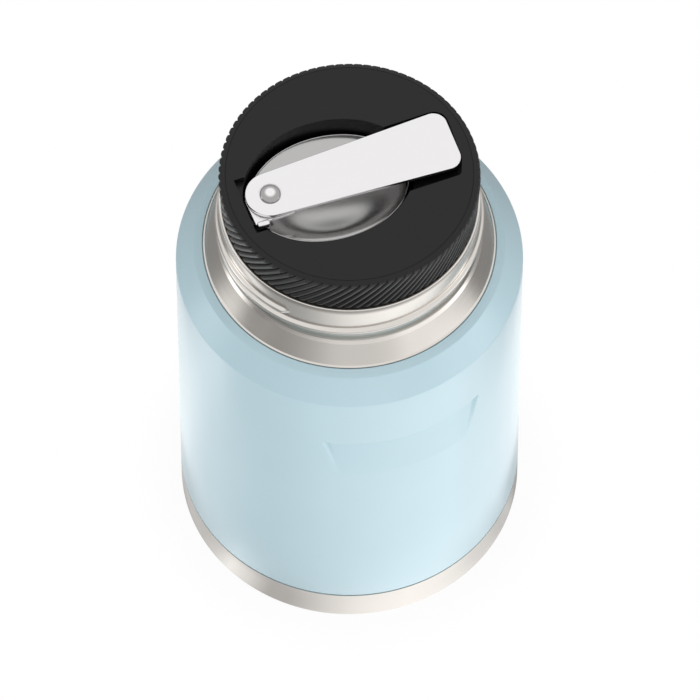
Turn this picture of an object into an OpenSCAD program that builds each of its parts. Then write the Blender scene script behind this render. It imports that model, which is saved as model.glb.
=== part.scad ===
// Vacuum-insulated food jar with a screw stopper and a folding spoon.
// Millimetres, +Z up. The origin is the middle of the jar's foot, on its axis, and -Y is its front.
// The spoon lies across the stopper: "along" runs on the spoon's line, "across" square to it.

/* [Body] */
// Outer diameter of the painted body
body_d = 104; // [86:1:126]
// Height of the bare steel base
base_h = 12.7; // [10:0.1:16]
// Height of the painted straight side
side_h = 116.4; // [90:0.1:140]
// Height of the sloped shoulder
shoulder_h = 7.5; // [6.5:0.1:9]
// Width of the sloped shoulder, seen from above
shoulder_w = 5.4; // [4.5:0.1:6.5]
// Height of the flatter ring above the shoulder
ring_h = 1.6; // [1:0.1:2]
// Width of the flatter ring, seen from above
ring_w = 2.8; // [2.2:0.1:3.4]
// Wall of the outer steel shell and the neck
shell_wall = 0.8; // [0.6:0.1:1]
// Wall of the inner steel vessel
liner_wall = 0.6; // [0.5:0.1:0.8]
// Distance from the body's outside to the inside of the food vessel
side_gap = 7.5; // [6:0.1:9]
// Height of the food vessel's floor above the foot
floor_h = 9.6; // [9:0.1:12]

/* [Panel on the front] */
// Width of the pressed panel along its top edge
panel_w = 49.3; // [40:0.1:60]
// Height of the pressed panel, over which it fades out
panel_h = 18; // [12:0.5:22]
// Distance from the shoulder's edge down to the panel
panel_drop = 23; // [18:0.5:30]
// Lean of the panel's sides
panel_lean = 14.5; // [8:0.5:18]
// Depth of the panel at its top edge
panel_depth = 0.9; // [0.6:0.1:1.2]
// Turn of the panel's middle from the front, towards +X
panel_turn = 19.5; // [0:0.5:40]

/* [Neck] */
// Height of the steel flare under the neck
flare_h = 6.7; // [5.5:0.1:8]
// Width of the steel flare, seen from above
flare_w = 4.8; // [4:0.1:5.5]
// Height of the neck above the flare
neck_h = 18.2; // [17:0.1:22]
// Thickness of the double-walled neck
neck_wall = 2.8; // [2.4:0.1:3.4]
// Height that the outer lid's two thread ridges stand out of the neck
lid_thread_depth = 1.2; // [0.8:0.1:1.4]
// Rise of the outer lid in one turn
lid_thread_lead = 8; // [7.6:0.1:8.4]
// Sweep of each of the outer lid's thread ridges round the neck
lid_thread_sweep = 240; // [180:10:250]
// Distance from the lip down to the upper ends of the outer lid's thread
lid_thread_drop = 7.9; // [7:0.1:8.2]

/* [Stopper] */
// Height of the stopper above the neck
cap_h = 13.8; // [13.5:0.1:17]
// How much narrower the stopper's grip is than the neck, on the radius
grip_inset = 0.14; // [0.1:0.02:0.6]
// How much the grip narrows towards its bottom, on the radius
grip_taper = 0.58; // [0.3:0.02:0.8]
// Number of slanted ribs round the grip
rib_count = 87; // [60:1:96]
// Slant of the ribs from upright
rib_slant = 40; // [15:1:45]
// Depth of the grooves between the ribs
rib_depth = 0.9; // [0.6:0.05:1]
// Width of the grooves between the ribs
groove_w = 1.3; // [0.9:0.05:1.4]
// Width of the bevel round the top
bevel_w = 2.1; // [1.6:0.1:2.6]
// Height of the bevel round the top
bevel_h = 1.1; // [0.8:0.1:1.6]
// Wall of the stopper's moulded parts
cap_wall = 1.6; // [1.4:0.1:2]
// Depth that the plug reaches into the mouth
plug_depth = 21.6; // [20.5:0.1:26]
// Clearance round the plug in the mouth, on the radius
plug_gap = 1.3; // [1.2:0.05:1.6]

/* [Stopper thread] */
// Rise of the stopper in one turn
stopper_lead = 8; // [7.6:0.1:8.4]
// Turn of the stopper from shut to free
stopper_turn = 270; // [240:5:280]
// Height that the mouth's ridges stand in
mouth_ridge = 0.9; // [0.8:0.05:1]
// Height that the plug's ridges stand out
plug_ridge = 1; // [0.9:0.05:1.1]

/* [Spoon] */
// Turn of the stored spoon from +X
spoon_turn = 20.7; // [0:0.1:60]
// Shift of the spoon's line behind the middle of the stopper
spoon_shift = 1.2; // [0:0.1:2]
// Depth of the spoon's bowl
bowl_depth = 7.6; // [6.5:0.1:8.2]
// Thickness of the bowl's sheet
sheet_t = 1; // [0.8:0.1:1.2]
// Drop from the pivot deck to the middle of the bowl's rim
rim_drop = 5.6; // [4.6:0.1:6]
// Slope of the bowl's rim, down from the rivet to the bowl's tip
bowl_tilt = 2.6; // [0:0.1:4]
// Thickness of the handle
handle_t = 1.4; // [1.1:0.1:1.8]
// Radius of the handle's round end, about the rivet
handle_end_r = 7.4; // [6.5:0.1:8]
// Width of the handle's far end
handle_w = 20; // [17:0.5:22]
// Corner radius of the handle's far end
handle_corner_r = 4.2; // [3:0.1:5]
// Lean of the stored handle from the spoon's line
handle_lean = 0.7; // [0:0.1:1]
// Diameter of the rivet's shank
rivet_d = 3.9; // [3:0.1:4.5]
// Diameter of the rivet's head
rivet_head_d = 6.3; // [5.4:0.1:7]

/* [Spoon recess] */
// From the grip's outside to the recess, at the spoon's heel
heel_margin = 6; // [5.6:0.1:7]
// From the grip's outside to the recess, at the handle's far end
slot_margin = 5.3; // [4.8:0.1:6.5]
// From the grip's outside to the bowl's well, past the bowl's tip
tip_margin = 19.3; // [18:0.1:22]
// From the grip's outside to the bowl's well, at its sides
side_margin = 18.5; // [18:0.1:21]
// Depth of the hollow under the handle's far end
finger_depth = 4.6; // [3.5:0.1:5.5]
// How far the handle stands above the stopper's face
handle_proud = 0.8; // [0.5:0.1:1.4]

/* [Hidden] */
$fn = 96;

PAINT = "#bfdbe6";
STEEL = "#c8c3bd";
BRIGHT = "#e6e4e3";
BLACK = "#2f2f30";
FOAM = "#f2efe2";
RUBBER = "#d9d9d6";

// Clearances
rest_gap = 0.3;      // a loose piece over its seat
seam_gap = 0.3;      // the open line between the paint and the bare base
weld_gap = 0.1;      // two steel pieces that are welded or pressed together
pivot_gap = 0.05;    // rivet shank in its holes, on the radius
washer_gap = 0.4;    // handle over the pivot deck

// Jar: radii and heights
body_r = body_d / 2;
crease_r = body_r - shoulder_w;
collar_r = crease_r - ring_w;
neck_r = collar_r - flare_w;
mouth_r = neck_r - neck_wall;
liner_r = body_r - side_gap;
joggle_r = body_r - shell_wall - weld_gap;   // the shell steps in here, inside the base cup
edge_z = base_h + side_h;
crease_z = edge_z + shoulder_h;
collar_z = crease_z + ring_h;
neck_z = collar_z + flare_h;
lip_z = neck_z + neck_h;
foot_inset = 4.5;    // from the body's outside to the recessed bottom
foot_rise = 1.8;     // height of the recessed bottom
plate_z = 4.8;       // underside of the base plate
plate_t = 1;
liner_low_z = floor_h - liner_wall;

// Stopper: radii and heights
grip_r = neck_r - grip_inset;
cap_z = lip_z + 0.2;
face_z = cap_z + cap_h;
plug_r = mouth_r - plug_gap;
plug_wall = 2;
plug_z = lip_z - plug_depth;
cap_skirt_r = plug_r - plug_wall + 0.1;
cap_outer_wall = 3.4;

// Heights through the spoon, from the handle down
handle_top_z = face_z + handle_proud;
handle_z = handle_top_z - handle_t;
slot_z = face_z - finger_depth;
deck_top_z = handle_z - washer_gap;
deck_z = deck_top_z - sheet_t;
heel_slot_z = deck_z - rest_gap;
ear_z = deck_z - 1.3;        // lower edge of the deck's bent ear
rim_z = deck_top_z - rim_drop;
bowl_low_z = rim_z - bowl_depth;
well_z = bowl_low_z - rest_gap - 0.1;
seam_z = well_z - cap_wall - 0.4;

// Along the spoon's line, from the stopper's axis
heel_slot_u = -(grip_r - heel_margin);
slot_u = grip_r - slot_margin;
deck_half_w = handle_end_r + 0.1;
deck_u = heel_slot_u + 0.8;
deck_len = 14.7;             // the pivot deck along the spoon's line
rivet_u = deck_u + deck_half_w;
handle_len = slot_u - 0.5 - rivet_u;
well_heel_u = heel_slot_u + 0.2;
well_tip_u = grip_r - tip_margin;
well_a = (well_tip_u - well_heel_u) / 2;
well_b = grip_r - side_margin;
well_u = (well_tip_u + well_heel_u) / 2;
bowl_tip_u = well_tip_u - 0.8;
bowl_heel_u = well_heel_u + 2.2;
bowl_a = (bowl_tip_u - bowl_heel_u) / 2;
bowl_b = well_b - spoon_shift - 1;
bowl_u = (bowl_tip_u + bowl_heel_u) / 2;

// Both threads have two starts. The plug's ridges are half a pitch under the mouth's.
starts = 2;
lid_thread_rise = lid_thread_lead * lid_thread_sweep / 360;
lid_thread_end = -116.7;    // where one of the lid thread's ridges has its upper end
pitch = stopper_lead / starts;
ridge_root_w = 2;
ridge_crest_w = 1;
ridge_sweep = 240;
ridge_rise = stopper_lead * ridge_sweep / 360;
mouth_ridge_z = lip_z - 1 - ridge_root_w / 2 - ridge_rise;
gasket_z = plug_z + 1.6;
gasket_h = 2.4;

// ---------- Outlines ----------

function unit(v) = v / norm(v);
function left_of(a, b) = let (d = unit(b - a)) [-d[1], d[0]];

// The arc that rounds corner b of a path a-b-c with radius r
function fillet(a, b, c, r, n = 4) =
    let (to_a = unit(a - b), to_c = unit(c - b),
         half = acos(to_a * to_c) / 2,
         centre = b + unit(to_a + to_c) * r / sin(half),
         first = b + to_a * r / tan(half) - centre,
         last = b + to_c * r / tan(half) - centre,
         from = atan2(first[1], first[0]),
         turn = (atan2(last[1], last[0]) - from + 540) % 360 - 180)
    [for (k = [0 : n]) centre + r * [cos(from + turn * k / n), sin(from + turn * k / n)]];

// A path through [x, y, corner radius] points, with its corners rounded
function rounded(p) =
    [for (i = [0 : len(p) - 1])
        let (b = [p[i][0], p[i][1]])
        each (i == 0 || i == len(p) - 1 || p[i][2] == 0 ? [b]
            : fillet([p[i - 1][0], p[i - 1][1]], b, [p[i + 1][0], p[i + 1][1]], p[i][2]))];

// One point of the path that runs at distance t to the left of path p
function beside(p, i, t) =
    i == 0 ? p[0] + t * left_of(p[0], p[1])
    : i == len(p) - 1 ? p[i] + t * left_of(p[i - 1], p[i])
    : let (before = left_of(p[i - 1], p[i]), m = unit(before + left_of(p[i], p[i + 1])))
      p[i] + m * t / (m * before);

// A sheet of thickness t on the left side of a path
function sheet(p, t) = concat(p, [for (i = [len(p) - 1 : -1 : 0]) beside(p, i, t)]);

function oval(a, b, n = 72) = [for (k = [0 : n - 1]) [a * cos(360 * k / n), b * sin(360 * k / n)]];

// Half of an ellipse, from its lower to its upper end on the y axis
function half_oval(x, y, n = 36) =
    [for (k = [0 : n]) k == 0 ? [0, -y] : k == n ? [0, y]
        : [x * cos(180 * k / n - 90), y * sin(180 * k / n - 90)]];

// ---------- Helpers ----------

// Places its children on the spoon's line, at a distance from the stopper's axis
module on_spoon_line(along = 0, across = 0)
    rotate([0, 0, spoon_turn]) translate([along, across, 0]) children();

// A thread ridge that climbs counter-clockwise. It fades in and out over an angle at its ends.
module ridge(root_r, crest_r, low_z, lead, start, sweep,
             fade = 16, root_w = ridge_root_w, crest_w = ridge_crest_w) {
    middle = sweep - 2 * fade;
    parts = ceil(middle / 8);
    turns = concat([0, fade / 2], [for (k = [0 : parts]) fade + middle * k / parts], [sweep - fade / 2, sweep]);
    n = len(turns) - 1;
    side = sign(crest_r - root_r);
    points = [for (turn = turns)
        let (a = start + turn, z = low_z + lead * turn / 360,
             grown = min(1, 0.1 + turn / fade, 0.1 + (sweep - turn) / fade),
             top_r = root_r + (crest_r - root_r) * grown)
        for (q = [[root_r, -root_w], [top_r, -crest_w], [top_r, crest_w], [root_r, root_w]])
            [q[0] * cos(a), q[0] * sin(a), z + side * q[1] / 2]];
    sides = [for (k = [0 : n - 1], i = [0 : 3])
        let (a = 4 * k + i, b = 4 * k + (i + 1) % 4)
        each [[a, b, b + 4], [a, b + 4, a + 4]]];
    polyhedron(points, concat([[3, 2, 1, 0]], sides, [[4 * n, 4 * n + 1, 4 * n + 2, 4 * n + 3]]));
}

// The trapezoid of the front panel, pushed out through the wall
module panel_prism(grow = 0) {
    top = edge_z - panel_drop + grow;
    low = edge_z - panel_drop - panel_h - grow;
    half = panel_w / 2 + grow;
    narrow = (top - low) * tan(panel_lean);
    rotate([0, 0, panel_turn]) rotate([90, 0, 0])
        linear_extrude(body_r + 5)
            polygon([[-half, top], [half, top], [half - narrow, low], [narrow - half, low]]);
}

// ---------- Jar ----------

module base_cup() color(STEEL) rotate_extrude() polygon(sheet(rounded([
    [0, foot_rise, 0],
    [body_r - foot_inset - 1.6, foot_rise, 1],
    [body_r - foot_inset, 0, 0.9],
    [body_r, 0, 1.4],
    [body_r, base_h, 0]]), shell_wall));

module base_plate() color(STEEL) difference() {
    rotate_extrude()
        polygon(sheet(rounded([
            [0, plate_z, 0],
            [4, plate_z, 1],
            [6, plate_z + 0.8, 1],
            [joggle_r - shell_wall - weld_gap, plate_z + 0.8, 0]]), -plate_t));
    translate([0, 0, plate_z - 2]) cylinder(d = 2, h = 4);
}

module vacuum_seal() color("#8f9a8a") rotate_extrude()
    polygon(concat([[0, plate_z - 1.6]], fillet([0, plate_z - 1.6], [1.8, plate_z - 1.6], [1.8, plate_z - 1.1], 0.4),
                   [[1.8, plate_z - 1], [0.98, plate_z - 1], [0.98, plate_z + 0.3], [0, plate_z + 0.3]]));

module getter() color("#7c7c80")
    translate([22, 0, plate_z + 0.8]) {
        cylinder(d = 11, h = 0.5);
        difference() {
            cylinder(d = 9, h = 2);
            translate([0, 0, 1.4]) cylinder(d = 6.5, h = 1);
        }
    }

module outer_shell() color(PAINT) {
    wall_r = body_r - shell_wall;
    top = edge_z - panel_drop;
    difference() {
        union() {
            rotate_extrude() polygon(sheet(rounded([
                [joggle_r, plate_z - 1.2, 0],
                [joggle_r, base_h + weld_gap, 0],
                [body_r, base_h + seam_gap, 0],
                [body_r, edge_z, 0.9],
                [crease_r, crease_z, 1.6],
                [collar_r + 0.3, collar_z - 0.2, 0],
                [collar_r + weld_gap, collar_z - 0.9, 0],
                [collar_r - 2, collar_z - 0.9, 0]]), shell_wall));
            intersection() {
                rotate_extrude() polygon([
                    [wall_r + 0.3, top + 1],
                    [wall_r, top + 1],
                    [wall_r - panel_depth, top],
                    [wall_r, top - panel_h],
                    [wall_r + 0.3, top - panel_h]]);
                panel_prism(0.8);
            }
        }
        intersection() {
            rotate_extrude() polygon([
                [body_r - panel_depth, top],
                [body_r + 1, top],
                [body_r + 1, top - panel_h],
                [body_r, top - panel_h]]);
            panel_prism();
        }
    }
}

module neck_collar() color(STEEL) {
    rotate_extrude() polygon(sheet(rounded([
        [collar_r - 1.9, collar_z - 0.9 + weld_gap, 0],
        [collar_r, collar_z - 0.9 + weld_gap, 0],
        [collar_r, collar_z + 0.2, 0.3],
        [neck_r + 0.9, neck_z, 1],
        [neck_r, neck_z + 1.2, 1],
        [neck_r, lip_z, 0]]), shell_wall));
    for (s = [0 : starts - 1])
        ridge(neck_r - 0.4, neck_r + lid_thread_depth,
              lip_z - lid_thread_drop - lid_thread_rise, lid_thread_lead,
              lid_thread_end + s * 360 / starts - lid_thread_sweep, lid_thread_sweep, 4,
              0.85 * lid_thread_lead / starts + 0.4, 0.35 * lid_thread_lead / starts);
}

module inner_liner() color(STEEL) {
    rotate_extrude() polygon(sheet(rounded([
        [0, floor_h, 0],
        [liner_r, floor_h, 9],
        [liner_r, edge_z - 1, 9],
        [mouth_r, min(neck_z - 4.5, gasket_z - 1.5), 3],
        [mouth_r, lip_z - 0.6, 0]]), -liner_wall));
    rotate_extrude()
        polygon(concat([[neck_r - shell_wall - weld_gap, lip_z], [neck_r - shell_wall - weld_gap, lip_z - 0.7],
                        [mouth_r, lip_z - 0.7]],
                       fillet([mouth_r, lip_z - 0.7], [mouth_r, lip_z], [neck_r, lip_z], 0.5)));
    for (s = [0 : starts - 1])
        ridge(mouth_r + 0.3, mouth_r - mouth_ridge, mouth_ridge_z, stopper_lead, s * 360 / starts, ridge_sweep);
}

// ---------- Stopper ----------

module stopper_cap() color(BLACK) difference() {
    union() {
        cap_revolve();
        intersection() {
            cap_walls();
            cylinder(r = grip_r - 2, h = face_z - 0.01);
        }
    }
    spoon_recess();
    grip_grooves();
}

// The turned form: grip wall, top, flange on the lip and skirt down to the plug
module cap_revolve() rotate_extrude() polygon(concat(
    [[0, face_z], [0, face_z - 2.2], [grip_r - cap_outer_wall, face_z - 2.2],
     [grip_r - cap_outer_wall, cap_z + 2], [cap_skirt_r, cap_z + 2], [cap_skirt_r, seam_z],
     [plug_r, seam_z], [plug_r, cap_z], [grip_r - grip_taper - 0.5, cap_z], [grip_r - grip_taper, cap_z + 0.5]],
    fillet([grip_r - grip_taper, cap_z], [grip_r, face_z - bevel_h], [grip_r - bevel_w, face_z], 1.6),
    fillet([grip_r, face_z - bevel_h], [grip_r - bevel_w, face_z], [0, face_z], 1.2)));

// Walls under the face that carry the well and the slots
module cap_walls() {
    on_spoon_line(well_u) translate([0, 0, well_z - cap_wall])
        linear_extrude(face_z - well_z + cap_wall - 0.5) polygon(oval(well_a + cap_wall, well_b + cap_wall));
    on_spoon_line() translate([0, 0, heel_slot_z - cap_wall])
        linear_extrude(face_z - heel_slot_z + cap_wall - 0.5) offset(delta = cap_wall) heel_slot();
    on_spoon_line() translate([0, 0, ear_z - rest_gap - cap_wall])
        linear_extrude(face_z - ear_z + rest_gap + cap_wall - 0.5) offset(delta = cap_wall) ear_slot();
    on_spoon_line() translate([0, 0, slot_z - cap_wall])
        linear_extrude(face_z - slot_z + cap_wall - 0.5) offset(delta = cap_wall) handle_slot();
}

module heel_slot()
    translate([heel_slot_u, spoon_shift - deck_half_w - 3.3])
        square([-heel_slot_u + well_u, 2 * deck_half_w + 4.4]);

// The front strip of the heel's slot is deeper, for the deck's bent ear
module ear_slot()
    translate([heel_slot_u, spoon_shift - deck_half_w - 3.3]) square([8, 4.2]);

// The handle's slot: a finger's gap along its front edge, and an end that bends back with the stopper's rim
module handle_slot() {
    back = spoon_shift + handle_w / 2 + 0.2;
    front = spoon_shift - handle_w / 2 - 3.2;
    hull() {
        translate([slot_u - handle_corner_r, back - handle_corner_r - 0.2]) circle(handle_corner_r + 0.2);
        translate([slot_u - 5.3, front + 6.8]) circle(5);
        translate([slot_u - 3.7, front + 1.5]) circle(1.5, $fn = 32);
        translate([well_u, front]) square([1, back - front]);
    }
}

module spoon_recess() {
    on_spoon_line(well_u) translate([0, 0, well_z])
        linear_extrude(30) polygon(oval(well_a, well_b));
    on_spoon_line() translate([0, 0, heel_slot_z]) linear_extrude(30) heel_slot();
    on_spoon_line() translate([0, 0, ear_z - rest_gap]) linear_extrude(30) ear_slot();
    on_spoon_line() translate([0, 0, slot_z]) linear_extrude(30) handle_slot();
}

// Narrow grooves, slanted so that each rib's top is counter-clockwise of its foot
module grip_grooves() {
    floor_w = 0.3;
    out = 2;
    open = (groove_w - floor_w) / 2 * (rib_depth + out) / rib_depth + floor_w / 2;
    mid_z = (cap_z + face_z) / 2;
    taper = atan(grip_taper / cap_h);
    for (k = [0 : rib_count - 1])
        rotate([0, 0, 360 * (k + 0.5) / rib_count])
            translate([grip_r - grip_taper / 2 - rib_depth, 0, mid_z])
                rotate([-rib_slant, taper, 0])
                    linear_extrude(2 * cap_h, center = true)
                        polygon([[0, -floor_w / 2], [rib_depth + out, -open],
                                 [rib_depth + out, open], [0, floor_w / 2]]);
}

module stopper_plug() color(BLACK) {
    difference() {
        rotate_extrude() polygon(concat(
            [[0, plug_z]],
            fillet([0, plug_z], [plug_r, plug_z], [plug_r, seam_z], 1.2),
            [[plug_r, gasket_z - 0.1], [plug_r - 2.5, gasket_z - 0.1],
             [plug_r - 2.5, gasket_z + gasket_h + 0.1], [plug_r, gasket_z + gasket_h + 0.1],
             [plug_r, seam_z], [plug_r - plug_wall, seam_z],
             [plug_r - plug_wall, gasket_z + gasket_h + 1.6], [0, gasket_z + gasket_h + 1.6]]));
        translate([0, 0, plug_z - 1]) cylinder(r1 = plug_r - 5, r2 = plug_r - 6, h = 2);
    }
    for (s = [0 : starts - 1])
        ridge(plug_r - 0.3, plug_r + plug_ridge, mouth_ridge_z - pitch / 2, stopper_lead,
              s * 360 / starts, ridge_sweep);
}

module foam_core() color(FOAM)
    translate([0, 0, gasket_z + gasket_h + 1.7])
        cylinder(r = plug_r - plug_wall - 0.1, h = seam_z - gasket_z - gasket_h - 2);

module stopper_gasket() color(RUBBER) {
    lip_r = mouth_r - 0.35;
    rotate_extrude() polygon([
        [plug_r - 2.2, gasket_z], [plug_r - 0.4, gasket_z],
        [lip_r, gasket_z + 0.9], [lip_r, gasket_z + 1.5],
        [plug_r - 0.4, gasket_z + gasket_h], [plug_r - 2.2, gasket_z + gasket_h]]);
}

// ---------- Spoon ----------

// Half of a spheroid whose cut at the rim is the bowl's oval, made smaller by t
module bowl_form(t) {
    round_r = (bowl_b * bowl_b + bowl_depth * bowl_depth) / (2 * bowl_depth);
    long_r = bowl_a / sqrt(1 - pow(1 - bowl_depth / round_r, 2));
    translate([0, 0, bowl_low_z + round_r]) rotate([0, 90, 0])
        rotate_extrude() polygon(half_oval(round_r - t, long_r - t));
}

// Places the bowl, drawn about its own middle, with its rim sloping down to its tip
module tilted(from_rivet)
    translate([from_rivet, 0, rim_z]) rotate([0, bowl_tilt, 0]) translate([0, 0, -rim_z]) children();

// The deck has a straight front edge with one square corner at its left
module deck_outline() hull() {
    circle(deck_half_w);
    translate([-deck_half_w + 0.2, -deck_half_w]) square([deck_half_w, deck_half_w]);
    for (s = [-1, 1])
        translate([deck_len - deck_half_w - 3, s * (deck_half_w - 3)]) circle(3, $fn = 32);
}

module spoon_bowl() color(BRIGHT) {
    from_rivet = bowl_u - rivet_u;
    on_spoon_line(rivet_u, spoon_shift) {
        tilted(from_rivet) difference() {
            bowl_form(0);
            bowl_form(sheet_t);
            translate([-100, -100, rim_z]) cube([200, 200, 100]);
        }
        difference() {
            union() {
                translate([0, 0, deck_z]) linear_extrude(sheet_t) deck_outline();
                translate([-deck_half_w + 0.6, -deck_half_w - 0.5, ear_z])
                    cube([3.9, 0.9, deck_top_z - ear_z + 0.1]);
                intersection() {
                    translate([from_rivet, 0, rim_z - 1.2]) linear_extrude(deck_z - rim_z + 1.4) difference() {
                        polygon(oval(bowl_a, bowl_b));
                        polygon(oval(bowl_a - 1.3, bowl_b - 1.3));
                    }
                    translate([-12, -5.5, rim_z - 2]) cube([10, 11, 20]);
                    tilted(from_rivet) union() {
                        bowl_form(0);
                        translate([-100, -100, rim_z - 0.2]) cube([200, 200, 100]);
                    }
                }
            }
            translate([0, 0, deck_z - 1]) cylinder(d = rivet_d + 2 * pivot_gap, h = 3);
        }
    }
}

module spoon_washer() color(STEEL)
    on_spoon_line(rivet_u, spoon_shift) translate([0, 0, deck_top_z + 0.03])
        difference() {
            cylinder(d = 10, h = washer_gap - 0.06);
            translate([0, 0, -1]) cylinder(d = rivet_d + 2 * pivot_gap, h = 3);
        }

module spoon_rivet() color(STEEL) {
    head_h = 1.1;
    dome_r = (pow(rivet_head_d / 2, 2) + head_h * head_h) / (2 * head_h);
    head_z = handle_top_z + 0.03;
    tail_z = deck_z - 0.9;
    on_spoon_line(rivet_u, spoon_shift) {
        intersection() {
            translate([0, 0, head_z + head_h - dome_r]) sphere(dome_r);
            translate([0, 0, head_z]) cylinder(d = rivet_head_d, h = 3);
        }
        translate([0, 0, tail_z]) cylinder(d = rivet_d, h = head_z - tail_z + 0.2);
        translate([0, 0, tail_z]) cylinder(d1 = rivet_d + 0.6, d2 = rivet_d + 1.6, h = 0.85);
    }
}

module spoon_handle() color(BRIGHT)
    on_spoon_line(rivet_u, spoon_shift) rotate([0, 0, -handle_lean]) translate([0, 0, handle_z])
        difference() {
            linear_extrude(handle_t) handle_outline();
            translate([0, 0, -1]) cylinder(d = rivet_d + 2 * pivot_gap, h = handle_t + 2);
        }

module handle_outline() hull() {
    circle(handle_end_r);
    for (s = [-1, 1])
        translate([handle_len - handle_corner_r, s * (handle_w / 2 - handle_corner_r)]) circle(handle_corner_r);
}

base_cup();
base_plate();
vacuum_seal();
getter();
outer_shell();
neck_collar();
inner_liner();
stopper_cap();
stopper_plug();
foam_core();
stopper_gasket();
spoon_bowl();
spoon_washer();
spoon_rivet();
spoon_handle();
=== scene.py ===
import math

import bmesh
import bpy
from mathutils import Matrix, Vector


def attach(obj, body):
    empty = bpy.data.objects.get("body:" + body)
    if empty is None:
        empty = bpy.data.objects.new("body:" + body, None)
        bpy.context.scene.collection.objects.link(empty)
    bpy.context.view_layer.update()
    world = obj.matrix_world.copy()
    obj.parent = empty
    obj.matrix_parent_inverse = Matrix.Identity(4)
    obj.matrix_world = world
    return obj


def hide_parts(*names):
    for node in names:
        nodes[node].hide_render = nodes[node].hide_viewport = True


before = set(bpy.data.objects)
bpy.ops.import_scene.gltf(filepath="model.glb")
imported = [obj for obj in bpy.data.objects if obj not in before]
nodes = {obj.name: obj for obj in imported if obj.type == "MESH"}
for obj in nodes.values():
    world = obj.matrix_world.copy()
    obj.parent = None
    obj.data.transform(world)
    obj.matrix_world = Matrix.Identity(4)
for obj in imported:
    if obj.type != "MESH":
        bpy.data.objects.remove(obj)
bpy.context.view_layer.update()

# ---------- Camera ----------
# A long lens looks down at the jar from high in front of it. The jar stands at the origin,
# with its axis just left of the middle of the picture.

camera = bpy.data.cameras.new("camera")
camera.sensor_width = 36
camera.lens = 545.4
camera.shift_x = 0.00076
camera.clip_end = 60
camera_height_angle = math.radians(59.83)
camera_distance = 3.224
aim = Vector((0, 0, 0.0732))
camera_object = bpy.data.objects.new("camera", camera)
camera_object.location = aim + camera_distance * Vector(
    (0, -math.cos(camera_height_angle), math.sin(camera_height_angle))
)
camera_object.rotation_euler = (math.pi / 2 - camera_height_angle, 0, 0)
bpy.context.scene.collection.objects.link(camera_object)
bpy.context.scene.camera = camera_object
bpy.context.scene.view_settings.view_transform = "Standard"


# ---------- Studio ----------
# A white table in a white tent, with soft lamps low at both sides and in front, and one above.
# The camera sees the tent as white. What metal sees of it has a dim front left corner, and a dark
# floor between the table's lit middle and the tent's walls.


def linear(hex_colour):
    """An sRGB hex colour as the linear RGBA that a shader takes."""
    channels = [int(hex_colour[i : i + 2], 16) / 255 for i in (1, 3, 5)]
    return (*(c / 12.92 if c <= 0.04045 else ((c + 0.055) / 1.055) ** 2.4 for c in channels), 1)


def add(tree, kind, inputs=None, **settings):
    """Adds a node to a tree. Its inputs are numbers, colours or another node's output."""
    node = tree.nodes.new(kind)
    for name, value in settings.items():
        setattr(node, name, value)
    for name, value in (inputs or {}).items():
        if isinstance(value, bpy.types.NodeSocket):
            tree.links.new(value, node.inputs[name])
        else:
            node.inputs[name].default_value = value
    return node


def new_material(name):
    """An empty node material and its tree."""
    material = bpy.data.materials.new(name)
    material.use_nodes = True
    material.node_tree.nodes.clear()
    return material, material.node_tree


def blend(tree, value, low, high, first, second):
    """Goes smoothly from the number first to second, as value goes from low to high."""
    share = add(
        tree,
        "ShaderNodeMapRange",
        {"Value": value, "From Min": low, "From Max": high},
        interpolation_type="SMOOTHSTEP",
    )
    return add(
        tree, "ShaderNodeMix", {0: share.outputs[0], 2: first, 3: second}, data_type="FLOAT"
    ).outputs[0]


def glow_round(tree, direction, stops):
    """Brightness by compass direction: stops of (degrees counter-clockwise from +X, brightness)."""
    apart = add(tree, "ShaderNodeSeparateXYZ", {0: direction})
    angle = add(
        tree, "ShaderNodeMath", {0: apart.outputs[1], 1: apart.outputs[0]}, operation="ARCTAN2"
    )
    share = add(
        tree,
        "ShaderNodeMapRange",
        {"Value": angle.outputs[0], "From Min": -math.pi, "From Max": math.pi},
    )
    ramp = add(tree, "ShaderNodeValToRGB", {"Fac": share.outputs[0]})
    marks = ramp.color_ramp.elements
    while len(marks) < len(stops):
        marks.new(0.5)
    for mark, (degrees, glow) in zip(marks, stops):
        mark.position = degrees / 360 + 0.5
        mark.color = (glow, glow, glow, 1)
    return ramp.outputs[0]


# What metal sees of the table at the jar's foot, round that and further out, and of the tent's
# walls; and what the table throws on paint
foot_glow = [
    (-180, 0.7), (-172, 0.66), (-162, 0.68), (-152, 0.7), (-144, 0.9), (-137, 1.35), (-128, 1.0),
    (-120, 0.54), (-112, 0.55), (-104, 0.78), (-96, 1.05), (-88, 1.29), (-80, 1.43), (-68, 1.52),
    (-56, 1.42), (-48, 1.28), (-40, 1.03), (-32, 0.92), (-24, 0.72), (-16, 0.74), (-8, 0.45),
    (0, 0.4), (90, 0.7), (180, 0.7),
]
side_glow = [
    (-180, 1.3), (-168, 1.0), (-155, 0.85), (-140, 0.6), (-126, 0.5), (-107, 0.83), (-86, 1.28),
    (-66, 1.5), (-46, 1.55), (-25, 1.45), (-8, 1.4), (10, 1.6), (30, 1.8), (60, 1.7), (120, 1.5),
    (150, 1.5), (170, 1.6), (180, 1.4),
]
far_glow = [
    (-180, 1.14), (-174, 1.3), (-169, 1.45), (-164, 1.16), (-158, 0.7), (-151, 0.37),
    (-134, 0.38), (-126, 0.45), (-117, 0.58), (-107, 0.83), (-97, 1.07), (-86, 1.28),
    (-76, 1.4), (-66, 1.5), (-56, 1.6), (-46, 1.55), (-35, 1.52), (-25, 1.43), (-15, 1.15),
    (-4, 0.73), (6, 0.54), (17, 0.68), (36, 0.76), (58, 0.62), (74, 0.5), (98, 0.65),
    (130, 0.7), (150, 0.75), (162, 0.75), (170, 0.82), (180, 1.14),
]
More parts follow.
